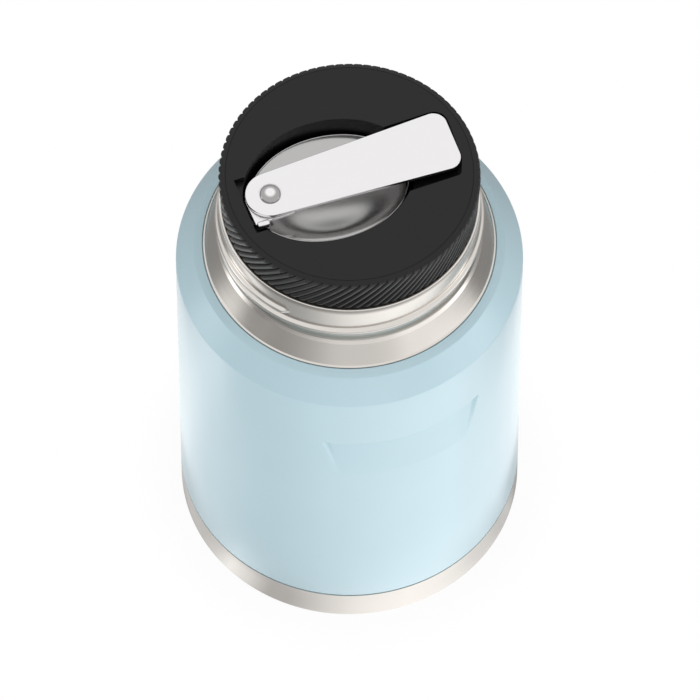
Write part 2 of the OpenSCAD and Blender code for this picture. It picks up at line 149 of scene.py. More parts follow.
wall_glow = [
    (-180, 2.4), (-172, 2.2), (-164, 0.95), (-158, 0.2), (-145, 0.35), (-134, 0.35),
    (-123, 0.45), (-111, 0.63), (-99, 0.88), (-75, 0.88), (-63, 1.0), (-53, 1.3), (-40, 1.25),
    (-28, 1.3), (-14, 1.75), (-6, 2.3), (2, 0.6), (12, 0.42), (21, 0.4), (60, 0.5), (90, 0.6),
    (120, 0.5), (158, 0.34), (171, 0.4), (176, 1.4), (180, 2.4),
]
bounce_glow = [
    (-180, 1.2), (-150, 1.4), (-132, 1.1), (-113, 0.5), (-95, 0.9), (-75, 1.5), (-55, 1.65),
    (-32, 1.2), (-10, 1.3), (90, 1.0), (180, 1.2),
]
top_glow = 0.97
room_light = 0.33
dark_share = 0.3

# Distances from the jar's axis, in metres, at which one ring of the table gives way to the next
foot_to_side = (0.055, 0.062)
side_to_far = (0.092, 0.11)
far_to_dark = (0.15, 0.22)
dark_to_wall = (0.35, 0.9)
contact_shade = (0.052, 0.07)
# Sines of the angles above the horizon between which the tent's walls give way to its top
wall_to_top = (0.1, 0.45)

world = bpy.data.worlds.new("tent")
world.use_nodes = True
bpy.context.scene.world = world
tree = world.node_tree
tree.nodes.clear()
direction = add(tree, "ShaderNodeTexCoord").outputs["Generated"]
height = add(tree, "ShaderNodeSeparateXYZ", {0: direction}).outputs[2]
tent = blend(tree, height, *wall_to_top, glow_round(tree, direction, wall_glow), top_glow)
path = add(tree, "ShaderNodeLightPath")
strength = add(
    tree,
    "ShaderNodeMix",
    {0: path.outputs["Is Glossy Ray"], 2: room_light, 3: tent},
    data_type="FLOAT",
).outputs[0]
strength = add(
    tree,
    "ShaderNodeMix",
    {0: path.outputs["Is Camera Ray"], 2: strength, 3: 1.0},
    data_type="FLOAT",
).outputs[0]
room = add(tree, "ShaderNodeBackground", {"Color": (1, 1, 1, 1), "Strength": strength})
add(tree, "ShaderNodeOutputWorld", {"Surface": room.outputs[0]})

table_paper, tree = new_material("white_paper")
place = add(tree, "ShaderNodeTexCoord").outputs["Object"]
from_middle = add(tree, "ShaderNodeVectorMath", {0: place}, operation="LENGTH").outputs["Value"]
foot, side, far, walls, bounce = (
    glow_round(tree, place, stops)
    for stops in (foot_glow, side_glow, far_glow, wall_glow, bounce_glow)
)
lit = blend(tree, from_middle, *side_to_far, side, far)
lit = blend(tree, from_middle, *foot_to_side, foot, lit)
dark = add(tree, "ShaderNodeMath", {0: lit, 1: dark_share}, operation="MULTIPLY").outputs[0]
table_glow = blend(tree, from_middle, *far_to_dark, lit, dark)
table_glow = blend(tree, from_middle, *dark_to_wall, table_glow, walls)
path = add(tree, "ShaderNodeLightPath")
paper = add(tree, "ShaderNodeBsdfDiffuse", {"Color": linear("#f4f4f4")})
in_metal = add(tree, "ShaderNodeEmission", {"Color": (1, 1, 1, 1), "Strength": table_glow})
on_paint = add(tree, "ShaderNodeEmission", {"Color": (1, 1, 1, 1), "Strength": bounce})
white = add(tree, "ShaderNodeEmission", {"Color": (1, 1, 1, 1), "Strength": 1.0})
paint_share = add(
    tree, "ShaderNodeMath", {0: path.outputs["Is Diffuse Ray"], 1: 0.7}, operation="MULTIPLY"
)
bounced = add(
    tree,
    "ShaderNodeMixShader",
    {0: paint_share.outputs[0], 1: paper.outputs[0], 2: on_paint.outputs[0]},
)
metal_share = add(
    tree, "ShaderNodeMath", {0: path.outputs["Is Glossy Ray"], 1: 0.75}, operation="MULTIPLY"
)
mixed = add(
    tree,
    "ShaderNodeMixShader",
    {0: metal_share.outputs[0], 1: bounced.outputs[0], 2: in_metal.outputs[0]},
)
white_share = add(
    tree,
    "ShaderNodeMath",
    {0: path.outputs["Is Camera Ray"], 1: blend(tree, from_middle, *contact_shade, 0.95, 1.0)},
    operation="MULTIPLY",
)
shown = add(
    tree,
    "ShaderNodeMixShader",
    {0: white_share.outputs[0], 1: mixed.outputs[0], 2: white.outputs[0]},
)
add(tree, "ShaderNodeOutputMaterial", {"Surface": shown.outputs[0]})

table_mesh = bpy.data.meshes.new("table")
table_half = 8
table_mesh.from_pydata(
    [(table_half * x, table_half * y, 0) for x, y in ((-1, -1), (1, -1), (1, 1), (-1, 1))],
    [],
    [(0, 1, 2, 3)],
)
table_mesh.materials.append(table_paper)
table = bpy.data.objects.new("table", table_mesh)
bpy.context.scene.collection.objects.link(table)

lamp_aim = Vector((0, 0, 0.1))
# Each: name, place, width, height, watts
softboxes = [
    ("lamp_right", (0.95, -0.45, 0.35), 0.55, 0.7, 3.5),
    ("lamp_left", (-0.95, -0.35, 0.4), 0.35, 0.7, 3.0),
    ("lamp_front", (0.25, -1.1, 0.3), 0.5, 0.4, 1.9),
    ("lamp_above", (0.1, -0.25, 1.1), 0.6, 0.6, 1.6),
]
for name, at, width, height, watts in softboxes:
    lamp = bpy.data.lights.new(name, "AREA")
    lamp.shape = "RECTANGLE"
    lamp.size, lamp.size_y, lamp.energy = width, height, watts
    lamp_object = bpy.data.objects.new(name, lamp)
    lamp_object.location = at
    lamp_object.rotation_euler = (lamp_aim - Vector(at)).to_track_quat("-Z", "Y").to_euler()
    lamp_object.visible_glossy = False
    bpy.context.scene.collection.objects.link(lamp_object)


# ---------- Base ----------
# The base is a cup drawn from stainless steel sheet, brushed on a belt and left bare under the
# paint. It is pressed over the stepped-in end of the shell, and stands on a ring round its bottom.

MM = 0.001
body_r = 52.0
foot_r, foot_h = 47.5, 1.8
base_top = 12.6
body_sheet = 0.8


def rounded(points, steps=6):
    """A path through (x, y, corner radius) points, with arcs for its corners."""
    path = []
    for i, (x, y, radius) in enumerate(points):
        corner = Vector((x, y))
        if radius == 0 or i in (0, len(points) - 1):
            path.append(corner)
            continue
        to_last = (Vector(points[i - 1][:2]) - corner).normalized()
        to_next = (Vector(points[i + 1][:2]) - corner).normalized()
        half = to_last.angle(to_next) / 2
        centre = corner + (to_last + to_next).normalized() * radius / math.sin(half)
        first = corner + to_last * radius / math.tan(half) - centre
        last = corner + to_next * radius / math.tan(half) - centre
        turn = first.angle_signed(last)
        for k in range(steps + 1):
            path.append(centre + Matrix.Rotation(-turn * k / steps, 2) @ first)
    return path


def sheet(path, thickness):
    """A closed outline: a path, and the same path at a distance to its left, back to the start."""
    lefts = []
    for a, b in zip(path, path[1:]):
        along = (b - a).normalized()
        lefts.append(Vector((-along.y, along.x)))
    back = []
    for i, point in enumerate(path):
        before, after = lefts[max(i - 1, 0)], lefts[min(i, len(lefts) - 1)]
        middle = (before + after).normalized()
        back.append(point + middle * thickness / middle.dot(before))
    return path + back[::-1]


def weld(mesh):
    """Merges a mesh's doubles and turns its faces outwards."""
    shape = bmesh.new()
    shape.from_mesh(mesh)
    bmesh.ops.remove_doubles(shape, verts=shape.verts, dist=0.002 * MM)
    bmesh.ops.recalc_face_normals(shape, faces=shape.faces)
    shape.to_mesh(mesh)
    shape.free()


def piece(name, mesh, material, sharp=30):
    """An object of a mesh, shaded smooth except where its faces meet at more than an angle."""
    weld(mesh)
    mesh.name = name
    mesh.materials.clear()
    mesh.materials.append(material)
    mesh.shade_smooth()
    mesh.set_sharp_from_angle(angle=math.radians(sharp))
    made = bpy.data.objects.new(name, mesh)
    bpy.context.scene.collection.objects.link(made)
    return made


def turned_mesh(outline, angles, dent=None):
    """An outline (radius, height) in millimetres, turned about Z through a list of angles."""
    vertices, faces = [], []
    for angle in angles:
        for r, z in outline:
            out = r - dent(r, angle, z) if dent else r
            vertices.append((out * MM * math.cos(angle), out * MM * math.sin(angle), z * MM))
    rows, columns = len(outline), len(angles)
    for j in range(columns):
        for i in range(rows):
            a, b = j * rows + i, j * rows + (i + 1) % rows
            c, d = (j + 1) % columns * rows + i, (j + 1) % columns * rows + (i + 1) % rows
            faces.append((a, c, d, b))
    mesh = bpy.data.meshes.new("turned")
    mesh.from_pydata(vertices, [], faces)
    return mesh


def even_angles(steps):
    """Angles that part a full turn evenly."""
    return [2 * math.pi * k / steps for k in range(steps)]


def steel(name, colour, roughness, line_spacing, line_depth, anisotropy, along, streaks=1.0):
    """Stainless steel with fine lines, their spacing and depth in millimetres. They run "round" the
    axis, as a lathe or a belt leaves them, or along an angle from +X. Real ones are finer: these
    are as coarse as they need to be to show."""
    # Along its lines the pattern moves slowly: metres for a radian, or a share of the way
    round_pace = 0.0006
    straight_pace = (0.02, 1, 1)
    material, tree = new_material(name)
    place = add(tree, "ShaderNodeTexCoord").outputs["Object"]
    if along == "round":
        apart = add(tree, "ShaderNodeSeparateXYZ", {0: place})
        flat = add(tree, "ShaderNodeCombineXYZ", {0: apart.outputs[0], 1: apart.outputs[1]})
        radius = add(tree, "ShaderNodeVectorMath", {0: flat.outputs[0]}, operation="LENGTH")
        angle = add(
            tree,
            "ShaderNodeMath",
            {0: apart.outputs[1], 1: apart.outputs[0]},
            operation="ARCTAN2",
        )
        turn = add(
            tree,
            "ShaderNodeMath",
            {0: angle.outputs[0], 1: round_pace},
            operation="MULTIPLY",
        )
        across = add(
            tree,
            "ShaderNodeCombineXYZ",
            {0: radius.outputs["Value"], 1: turn.outputs[0], 2: apart.outputs[2]},
        ).outputs[0]
    else:
        turned = add(tree, "ShaderNodeMapping", {"Vector": place, "Rotation": (0, 0, -along)})
        across = add(
            tree,
            "ShaderNodeVectorMath",
            {0: turned.outputs[0], 1: straight_pace},
            operation="MULTIPLY",
        ).outputs[0]
    lines = add(
        tree,
        "ShaderNodeTexNoise",
        {"Vector": across, "Scale": 1 / (line_spacing * MM), "Detail": 3, "Roughness": 0.6},
    )
    darker, lighter = 1 - 0.06 * streaks, 1 + 0.05 * streaks
    tone = add(
        tree,
        "ShaderNodeMix",
        {
            0: lines.outputs["Fac"],
            6: [darker * c for c in linear(colour)[:3]] + [1],
            7: [min(1, lighter * c) for c in linear(colour)[:3]] + [1],
        },
        data_type="RGBA",
    )
    gloss = add(
        tree,
        "ShaderNodeMapRange",
        {
            "Value": lines.outputs["Fac"],
            "To Min": roughness - 0.05 * streaks,
            "To Max": roughness + 0.06 * streaks,
        },
    )
    relief = add(
        tree,
        "ShaderNodeBump",
        {"Height": lines.outputs["Fac"], "Strength": 0.5, "Distance": line_depth * MM},
    )
    shader = add(
        tree,
        "ShaderNodeBsdfPrincipled",
        {
            "Base Color": tone.outputs[2],
            "Metallic": 1.0,
            "Roughness": gloss.outputs[0],
            "Normal": relief.outputs[0],
            "Anisotropic": anisotropy,
        },
    )
    if along == "round":
        tangent = add(tree, "ShaderNodeTangent", direction_type="RADIAL", axis="Z")
        tree.links.new(tangent.outputs[0], shader.inputs["Tangent"])
    add(tree, "ShaderNodeOutputMaterial", {"Surface": shader.outputs[0]})
    return material


# Belt-brushed 18/8 stainless: broad soft highlights that run up and down the jar
body_steel = steel(
    "brushed_stainless_steel",
    "#dfdad4",
    roughness=0.19,
    line_spacing=0.25,
    line_depth=0.006,
    anisotropy=0.4,
    along="round",
)

base_outline = [
    (0, foot_h, 0),
    (45.9, foot_h, 1),
    (foot_r, 0, 0.9),
    (body_r, 0, 1.4),
    (body_r, base_top, 0),
]
base_mesh = turned_mesh(sheet(rounded(base_outline), body_sheet), even_angles(288))
base = piece("base_cup_form", base_mesh, body_steel)
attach(base, "jar")
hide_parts("base_cup")

# ---------- Closing plate, glass seal and getter ----------
# Inside the base, a plate of plain steel sheet closes the shell. The air was drawn out through a
# hole in it, which a bead of glass seals, and a sintered pellet takes up the gas that is left.

# Sheet as the mill rolls it: grey, with no clear reflections
plain_steel = steel(
    "mill_finish_stainless_steel",
    "#c4c1be",
    roughness=0.35,
    line_spacing=0.3,
    line_depth=0.01,
    anisotropy=0.3,
    along="round",
)
nodes["base_plate"].material_slots[0].material = plain_steel

# Solder glass: a smooth grey-green bead
bead_glass, tree = new_material("sealing_glass")
bead = add(
    tree,
    "ShaderNodeBsdfPrincipled",
    {"Base Color": linear("#6f7a68"), "Roughness": 0.25, "Coat Weight": 0.3},
)
add(tree, "ShaderNodeOutputMaterial", {"Surface": bead.outputs[0]})
nodes["vacuum_seal"].material_slots[0].material = bead_glass

# Sintered metal powder: dark and dull, with its grains just seen
getter_metal, tree = new_material("sintered_zirconium")
grains = add(tree, "ShaderNodeTexNoise", {"Scale": 1 / (0.3 * MM), "Detail": 2})
grain_tone = add(
    tree,
    "ShaderNodeMix",
    {0: grains.outputs["Fac"], 6: linear("#5b5b5f"), 7: linear("#87878c")},
    data_type="RGBA",
)
pellet = add(
    tree,
    "ShaderNodeBsdfPrincipled",
    {"Base Color": grain_tone.outputs[2], "Metallic": 0.7, "Roughness": 0.7},
)
add(tree, "ShaderNodeOutputMaterial", {"Surface": pellet.outputs[0]})
nodes["getter"].material_slots[0].material = getter_metal

# ---------- Food vessel ----------
# The inner vessel is spun from thin stainless steel. Its lip is welded to the neck, and the
# vacuum lies between it and the shell.

nodes["inner_liner"].material_slots[0].material = plain_steel

# ---------- Painted shell ----------
# The outer wall is steel with a powder coat, fused to an even satin skin with a very fine
# orange-peel relief. A panel is pressed into its front right: deep along the top, flush below.

panel_top, panel_bottom = 106.1, 88.1
panel_depth = 1.4
panel_turn = math.radians(-90 + 19.5)
panel_half = 24.65
panel_lean = math.tan(math.radians(14.5))
panel_side_round, panel_top_round = 0.45, 0.5


def smooth_step(low, high, value):
    """0 up to low, 1 from high on, and a smooth rise between them."""
    t = min(1, max(0, (value - low) / (high - low)))
    return t * t * (3 - 2 * t)


def panel_dent(r, angle, z):
    """How far the pressed panel draws the wall in."""
    if r < body_r - 3 or not panel_bottom < z < panel_top + panel_top_round:
        return 0
    away = (angle - panel_turn + math.pi) % (2 * math.pi) - math.pi
    if abs(away) > 1:
        return 0
    side = panel_half - (panel_top - z) * panel_lean - abs(body_r * math.sin(away))
    depth = panel_depth * min(1, (z - panel_bottom) / (panel_top - panel_bottom))
    within = smooth_step(-panel_side_round, panel_side_round, side)
    return depth * within * (1 - smooth_step(-panel_top_round, panel_top_round, z - panel_top))


# Rows and columns of the mesh are closer at the panel, and closest along its top edge. A column
# within 0.1 mm of the last one is left out.
shell_foot = [(51.1, 3.6, 0), (51.1, 13.0, 0.15), (body_r, 13.2, 0.12), (body_r, 20, 0)]
panel_rows = [86 + 0.6 * k for k in range(32)] + [105.2 + 0.2 * k for k in range(10)]
shell_shoulder = [
    (body_r, 125, 0),
    (body_r, 129.1, 1.2),
    (46.6, 136.6, 1.6),
    (44.1, 138.0, 0.15),
    (43.9, 137.3, 0),
    (41.8, 137.3, 0),
]
shell_path = (
    rounded(shell_foot, 3)[:-1]
    + [Vector((body_r, z)) for z in [40, 70, *panel_rows, 112, 122]]
    + rounded(shell_shoulder, 5)
)
panel_columns = [panel_turn + math.radians(0.5 * k) for k in range(-66, 67)]
shell_angles = sorted({round(a % (2 * math.pi), 6) for a in even_angles(240) + panel_columns})
shell_angles = [a for i, a in enumerate(shell_angles) if i == 0 or a - shell_angles[i - 1] > 0.002]

# Powder coat on steel: an even satin blue. A fine peel softens its highlights, and its tone drifts
# a little over the width of a finger.
powder_coat, tree = new_material("powder_coated_steel")
place = add(tree, "ShaderNodeTexCoord").outputs["Object"]
peel = add(tree, "ShaderNodeTexNoise", {"Vector": place, "Scale": 1 / (0.9 * MM), "Detail": 2})
patches = add(tree, "ShaderNodeTexNoise", {"Vector": place, "Scale": 1 / (18 * MM), "Detail": 1})
tint = add(
    tree,
    "ShaderNodeMix",
    {0: patches.outputs["Fac"], 6: linear("#bcd9e3"), 7: linear("#c0dce6")},
    data_type="RGBA",
)
skin = add(
    tree, "ShaderNodeBump", {"Height": peel.outputs["Fac"], "Strength": 0.3, "Distance": 0.02 * MM}
)
coat = add(
    tree,
    "ShaderNodeBsdfPrincipled",
    {
        "Base Color": tint.outputs[2],
        "Roughness": 0.36,
        "IOR": 1.5,
        "Coat Weight": 0.6,
        "Coat Roughness": 0.2,
        "Normal": skin.outputs[0],
    },
)
add(tree, "ShaderNodeOutputMaterial", {"Surface": coat.outputs[0]})

shell_mesh = turned_mesh(sheet(shell_path, body_sheet), shell_angles, panel_dent)
shell = piece("outer_shell_form", shell_mesh, powder_coat)
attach(shell, "jar")
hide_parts("outer_shell")

# ---------- Neck ----------
# The neck is spun from stainless steel and brushed with the base. Its foot flares out to a rolled
# bead on the shell's edge, and the outer lid's thread is rolled into its wall.

# Painted shade: the groove above the flare is painted a darker, browner tone, against the blue of
# the paint it mirrors
groove_shade_foot = (146.0 * MM, 146.7 * MM)
groove_shade_head = (148.2 * MM, 149.4 * MM)
tree = body_steel.node_tree
shader = tree.nodes["Principled BSDF"]
brushed = shader.inputs["Base Color"].links[0].from_socket
place = add(tree, "ShaderNodeTexCoord").outputs["Object"]
height = add(tree, "ShaderNodeSeparateXYZ", {0: place}).outputs[2]
above = blend(tree, height, *groove_shade_foot, 0.0, 1.0)
groove = blend(tree, height, *groove_shade_head, above, 0.0)
# The painted shade of the groove, mixed into the brushed tone
groove_shaded = add(
    tree, "ShaderNodeMix", {0: groove, 6: brushed, 7: linear("#c6b9ae")}, data_type="RGBA"
)
tree.links.new(groove_shaded.outputs[2], shader.inputs["Base Color"])

neck_r = 39.0
neck_top = 163.1
thread_crest = 40.2
thread_top = 155.2
thread_lead = 8.0
thread_starts = 2
thread_sweep = math.radians(240)
thread_end = math.radians(-116.7)
thread_fade = 0.07
ridge_flat, ridge_foot = 0.4, 1.5


def thread_swell(r, angle, z):
    """How far the rolled thread pushes the wall out, as a negative depth."""
    if abs(r - neck_r) > 0.01 or z > thread_top + ridge_foot:
        return 0
    swell = 0
    for start in range(thread_starts):
        below = (thread_end + 2 * math.pi * start / thread_starts - angle) % (2 * math.pi)
        if below < thread_sweep:
            height = z - (thread_top - thread_lead * below / (2 * math.pi))
            fade = smooth_step(0, thread_fade, min(below, thread_sweep - below))
            ridge = 1 - smooth_step(ridge_flat, ridge_foot, abs(height))
            swell = max(swell, fade * ridge)
    return -(thread_crest - neck_r) * swell


neck_foot = [
    (41.9, 137.4, 0),
    (43.8, 137.4, 0.15),
    (43.8, 137.9, 0.2),
    (43.25, 138.2, 0.25),
    (39.9, 144.9, 1.2),
    (neck_r, 146.1, 1.2),
    (neck_r, 147.2, 0),
]
neck_rows = [147.4 + 0.2 * k for k in range(52)] + [160, 162.8]
neck_lip = [(38.9, 163.02), (38.7, neck_top), (38.2, neck_top)]
neck_inside = [(38.2, 146), (39.3, 144.4), (43.0, 138.2)]
neck_outline = (
    rounded(neck_foot, 5)
    + [Vector((neck_r, z)) for z in neck_rows]
    + [Vector(point) for point in neck_lip + neck_inside]
)
neck_angles = sorted(
    even_angles(360)
    + [
        (thread_end + math.pi * start + math.radians(0.4 * k)) % (2 * math.pi)
        for start in range(thread_starts)
        for k in range(-14, 4)
    ]
)
neck_mesh = turned_mesh(neck_outline, neck_angles, thread_swell)
neck = piece("neck_form", neck_mesh, body_steel, sharp=60)
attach(neck, "jar")
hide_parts("neck_collar")

# ---------- Stopper plug, gasket and foam ----------
# The plug is moulded from black polypropylene and filled with foam, which keeps the heat in. It
# screws into the mouth, and a silicone ring in a groove of it makes the seal.

# Polypropylene from a spark-eroded mould: black with a fine matt grain. On the crests of the grip
# it is painted greyer, a painted highlight, and made smoother.
black_polypropylene, tree = new_material("moulded_black_polypropylene")
place = add(tree, "ShaderNodeTexCoord").outputs["Object"]
grain = add(tree, "ShaderNodeTexNoise", {"Vector": place, "Scale": 1 / (0.35 * MM), "Detail": 2})
flow = add(tree, "ShaderNodeTexNoise", {"Vector": place, "Scale": 1 / (9 * MM), "Detail": 1})
dark = add(
    tree,
    "ShaderNodeMix",
    {0: flow.outputs["Fac"], 6: linear("#0e0e0f"), 7: linear("#121212")},
    data_type="RGBA",
)
eroded = add(
    tree, "ShaderNodeBump", {"Height": grain.outputs["Fac"], "Strength": 0.5, "Distance": 0.03 * MM}
)
apart = add(tree, "ShaderNodeSeparateXYZ", {0: place})
flat = add(tree, "ShaderNodeCombineXYZ", {0: apart.outputs[0], 1: apart.outputs[1]})
from_axis = add(tree, "ShaderNodeVectorMath", {0: flat.outputs[0]}, operation="LENGTH")
radius = from_axis.outputs["Value"]
# Painted highlight: the crests of the grip are painted greyer than its grooves
crest_highlight_radii = (38.2 * MM, 38.8 * MM)
crest_gloss_radii = (38.1 * MM, 38.8 * MM)
crest = blend(tree, radius, *crest_highlight_radii, 0.0, 1.0)
crest_highlight = add(
    tree, "ShaderNodeMix", {0: crest, 6: dark.outputs[2], 7: linear("#363636")}, data_type="RGBA"
)
plastic = add(
    tree,
    "ShaderNodeBsdfPrincipled",
    {
        "Base Color": crest_highlight.outputs[2],
        "Roughness": blend(tree, radius, *crest_gloss_radii, 0.38, 0.27),
        "IOR": 1.49,
        "Specular IOR Level": 0.37,
        "Normal": eroded.outputs[0],
    },
)
add(tree, "ShaderNodeOutputMaterial", {"Surface": plastic.outputs[0]})
nodes["stopper_plug"].material_slots[0].material = black_polypropylene

# Silicone rubber: pale, soft to the light and a little glossy
silicone, tree = new_material("grey_silicone_rubber")
ring = add(
    tree,
    "ShaderNodeBsdfPrincipled",
    {"Base Color": linear("#cfcfcb"), "Roughness": 0.45, "Subsurface Weight": 0.1},
)
add(tree, "ShaderNodeOutputMaterial", {"Surface": ring.outputs[0]})
nodes["stopper_gasket"].material_slots[0].material = silicone

# Polyurethane foam: cream and quite dull, with small open cells
white_foam, tree = new_material("polyurethane_foam")
cells = add(tree, "ShaderNodeTexVoronoi", {"Scale": 1 / (0.8 * MM)})
pores = add(tree, "ShaderNodeBump", {"Height": cells.outputs["Distance"], "Distance": 0.2 * MM})
foam = add(
    tree,
    "ShaderNodeBsdfPrincipled",
    {"Base Color": linear("#efe9d6"), "Roughness": 0.9, "Normal": pores.outputs[0]},
)
add(tree, "ShaderNodeOutputMaterial", {"Surface": foam.outputs[0]})
nodes["foam_core"].material_slots[0].material = white_foam

# ---------- Grip ----------
# The cap's wall is moulded in one with its top, of the same polypropylene, and has slanted ribs
# for the fingers all round. It is one rib with half a groove on each side, repeated.

ribs = 87
cap_bottom, cap_top = 163.3, 177.1
grip_r, grip_taper, taper_height = 38.86, 0.58, 12.7
groove_depth, groove_power = 0.85, 2.5
slant = math.radians(40)
joint_r = 36.8


def grip_wall(z):
    """The radius of the ribs' crests at a height."""
    return grip_r - grip_taper + grip_taper * (z - cap_bottom) / taper_height


foot_wall = grip_r - grip_taper
grip_foot = [
    (foot_wall - 0.5, cap_bottom),
    (foot_wall - 0.15, cap_bottom + 0.15),
    (foot_wall, cap_bottom + 0.5),
]
grip_crown = [
    (38.82, 175.0, 0),
    (grip_r, cap_top - 0.9, 1.1),
    (grip_r - 1.9, cap_top, 1.2),
    (joint_r, cap_top, 0),
]
grip_outline = (
    [Vector(point) for point in grip_foot]
    + [Vector((grip_wall(164.6 + 1.2 * k), 164.6 + 1.2 * k)) for k in range(9)]
    + rounded(grip_crown, 7)
    + [Vector((joint_r, cap_bottom))]
)
columns = 14
pitch = 2 * math.pi / ribs
rib_vertices, rib_faces = [], []
for j in range(columns + 1):
    offset = (j / columns - 0.5) * pitch
    bite = groove_depth * abs(2 * j / columns - 1) ** groove_power
    for r, z in grip_outline:
        reach = min(r, grip_wall(z) - bite)
        turn = offset + (z - (cap_bottom + cap_top) / 2) * math.tan(slant) / grip_r
        rib_vertices.append((reach * MM * math.cos(turn), reach * MM * math.sin(turn), z * MM))
rows = len(grip_outline)
for j in range(columns):
    for i in range(rows):
        a, b = j * rows + i, j * rows + (i + 1) % rows
        rib_faces.append((a, a + rows, b + rows, b))
rib_mesh = bpy.data.meshes.new("one_rib")
rib_mesh.from_pydata(rib_vertices, [], rib_faces)
rib = bpy.data.objects.new("one_rib", rib_mesh)
bpy.context.scene.collection.objects.link(rib)

ring_tree = bpy.data.node_groups.new("ribs_round_a_grip", "GeometryNodeTree")
for name, kind, way in (
    ("Rib", "NodeSocketGeometry", "INPUT"),
    ("Ribs", "NodeSocketInt", "INPUT"),
    ("Join distance", "NodeSocketFloat", "INPUT"),
    ("Plastic", "NodeSocketMaterial", "INPUT"),
    ("Grip", "NodeSocketGeometry", "OUTPUT"),
):
    ring_tree.interface.new_socket(name=name, in_out=way, socket_type=kind)
given = add(ring_tree, "NodeGroupInput")
middles = add(ring_tree, "GeometryNodePoints", {"Count": given.outputs["Ribs"]})
number = add(ring_tree, "GeometryNodeInputIndex")
share = add(
    ring_tree,
    "ShaderNodeMath",
    {0: number.outputs[0], 1: given.outputs["Ribs"]},
    operation="DIVIDE",
)
turn = add(
    ring_tree, "ShaderNodeMath", {0: share.outputs[0], 1: 2 * math.pi}, operation="MULTIPLY"
)
about_axis = add(ring_tree, "ShaderNodeCombineXYZ", {2: turn.outputs[0]})
placed = add(
    ring_tree,
    "GeometryNodeInstanceOnPoints",
    {
        "Points": middles.outputs[0],
        "Instance": given.outputs["Rib"],
        "Rotation": about_axis.outputs[0],
    },
)
real = add(ring_tree, "GeometryNodeRealizeInstances", {0: placed.outputs[0]})
joined = add(
    ring_tree,
    "GeometryNodeMergeByDistance",
    {"Geometry": real.outputs[0], "Distance": given.outputs["Join distance"]},
)
coloured = add(
    ring_tree,
    "GeometryNodeSetMaterial",
    {"Geometry": joined.outputs[0], "Material": given.outputs["Plastic"]},
)
add(ring_tree, "NodeGroupOutput", {0: coloured.outputs[0]})

modifier = rib.modifiers.new("grip", "NODES")
modifier.node_group = ring_tree
rib_inputs = {"Ribs": ribs, "Join distance": 0.004 * MM, "Plastic": black_polypropylene}
for item in ring_tree.interface.items_tree:
    if item.name in rib_inputs:
        modifier[item.identifier] = rib_inputs[item.name]
bpy.context.view_layer.update()
grip_mesh = bpy.data.meshes.new_from_object(
    rib.evaluated_get(bpy.context.evaluated_depsgraph_get())
)
bpy.data.objects.remove(rib)
grip = piece("stopper_grip", grip_mesh, black_polypropylene, sharp=50)
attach(grip, "stopper")
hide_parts("stopper_cap")

# ---------- Stopper top ----------
# The cap's top is a plate inside the grip. It has a well for the spoon's bowl and shallow slots
# for its heel, its ear and its handle, all moulded with thin walls of their own underneath.

spoon_turn = math.radians(20.7)
spoon_shift = 1.2


def on_spoon_line(mesh, along=0, across=0):
    """Moves a mesh from the spoon's own lines to its place in the stopper."""
    mesh.transform(
        Matrix.Rotation(spoon_turn, 4, "Z") @ Matrix.Translation((along * MM, across * MM, 0))
    )
    return mesh


def prism(outline, low, high):
    """An upright solid on an outline in millimetres."""
    n = len(outline)
    vertices = [(x * MM, y * MM, low * MM) for x, y in outline]
    vertices += [(x * MM, y * MM, high * MM) for x, y in outline]
    faces = [tuple(reversed(range(n))), tuple(range(n, 2 * n))]
    faces += [(i, (i + 1) % n, n + (i + 1) % n, n + i) for i in range(n)]
    mesh = bpy.data.meshes.new("prism")
    mesh.from_pydata(vertices, [], faces)
    return mesh


def cut_or_join(mesh, steps, bevel):
    """Joins solids to a mesh or cuts them from it, then breaks its edges."""
    body = bpy.data.objects.new("work", mesh)
    bpy.context.scene.collection.objects.link(body)
    tools = []
    for operation, tool_mesh in steps:
        tool = bpy.data.objects.new("tool", tool_mesh)
        bpy.context.scene.collection.objects.link(tool)
        tools.append(tool)
        step = body.modifiers.new("step", "BOOLEAN")
        step.operation, step.solver, step.object = operation, "EXACT", tool
    if bevel:
        edges = body.modifiers.new("edges", "BEVEL")
        edges.width, edges.segments, edges.limit_method = bevel * MM, 2, "ANGLE"
        edges.angle_limit = math.radians(50)
    bpy.context.view_layer.update()
    result = bpy.data.meshes.new_from_object(
        body.evaluated_get(bpy.context.evaluated_depsgraph_get())
    )
    for work in [body, *tools]:
        bpy.data.objects.remove(work)
    return result


def oval(a, b, steps=144):
    """The outline of an oval, from its half length and half width."""
    return [
        (a * math.cos(2 * math.pi * k / steps), b * math.sin(2 * math.pi * k / steps))
        for k in range(steps)
    ]


def hull_of_circles(circles, steps=24):
    """The outline of a band stretched round circles (x, y, radius), given counter-clockwise."""
    outline = []
    n = len(circles)
    for i, (x, y, radius) in enumerate(circles):
        bounds = []
        for (ax, ay, ar), (bx, by, br) in (
            (circles[i - 1], circles[i]),
            (circles[i], circles[(i + 1) % n]),
        ):
            gap = math.hypot(bx - ax, by - ay)
            bounds.append(math.atan2(by - ay, bx - ax) - math.pi / 2 + math.asin((ar - br) / gap))
        turn = (bounds[1] - bounds[0]) % (2 * math.pi)
        count = max(1, round(steps * turn / (math.pi / 2))) if radius > 0.01 else 0
        for k in range(count + 1):
            angle = bounds[0] + turn * k / max(count, 1)
            outline.append((x + radius * math.cos(angle), y + radius * math.sin(angle)))
    return outline


# Sizes in millimetres along the spoon (u, from the jar's axis), across it (low, high, front and
# back) and in height (floor)
recess_wall = 1.6
edge_break = 0.25
wall_top, above_all = 176, 190
well_u, well_a, well_b, well_floor = -6.55, 26.11, 20.36, 162.5
heel_u, heel_low, heel_high, heel_floor = -32.86, -9.6, 9.8, 174.8
ear_right, ear_back, ear_floor = -24.86, -5.4, 173.5
slot_u, slot_front, slot_back, slot_floor = 33.56, -12.0, 11.4, 172.5


def well_outline(grow):
    """The well for the bowl, larger all round by grow, as the next three are."""
    return oval(well_a + grow, well_b + grow)


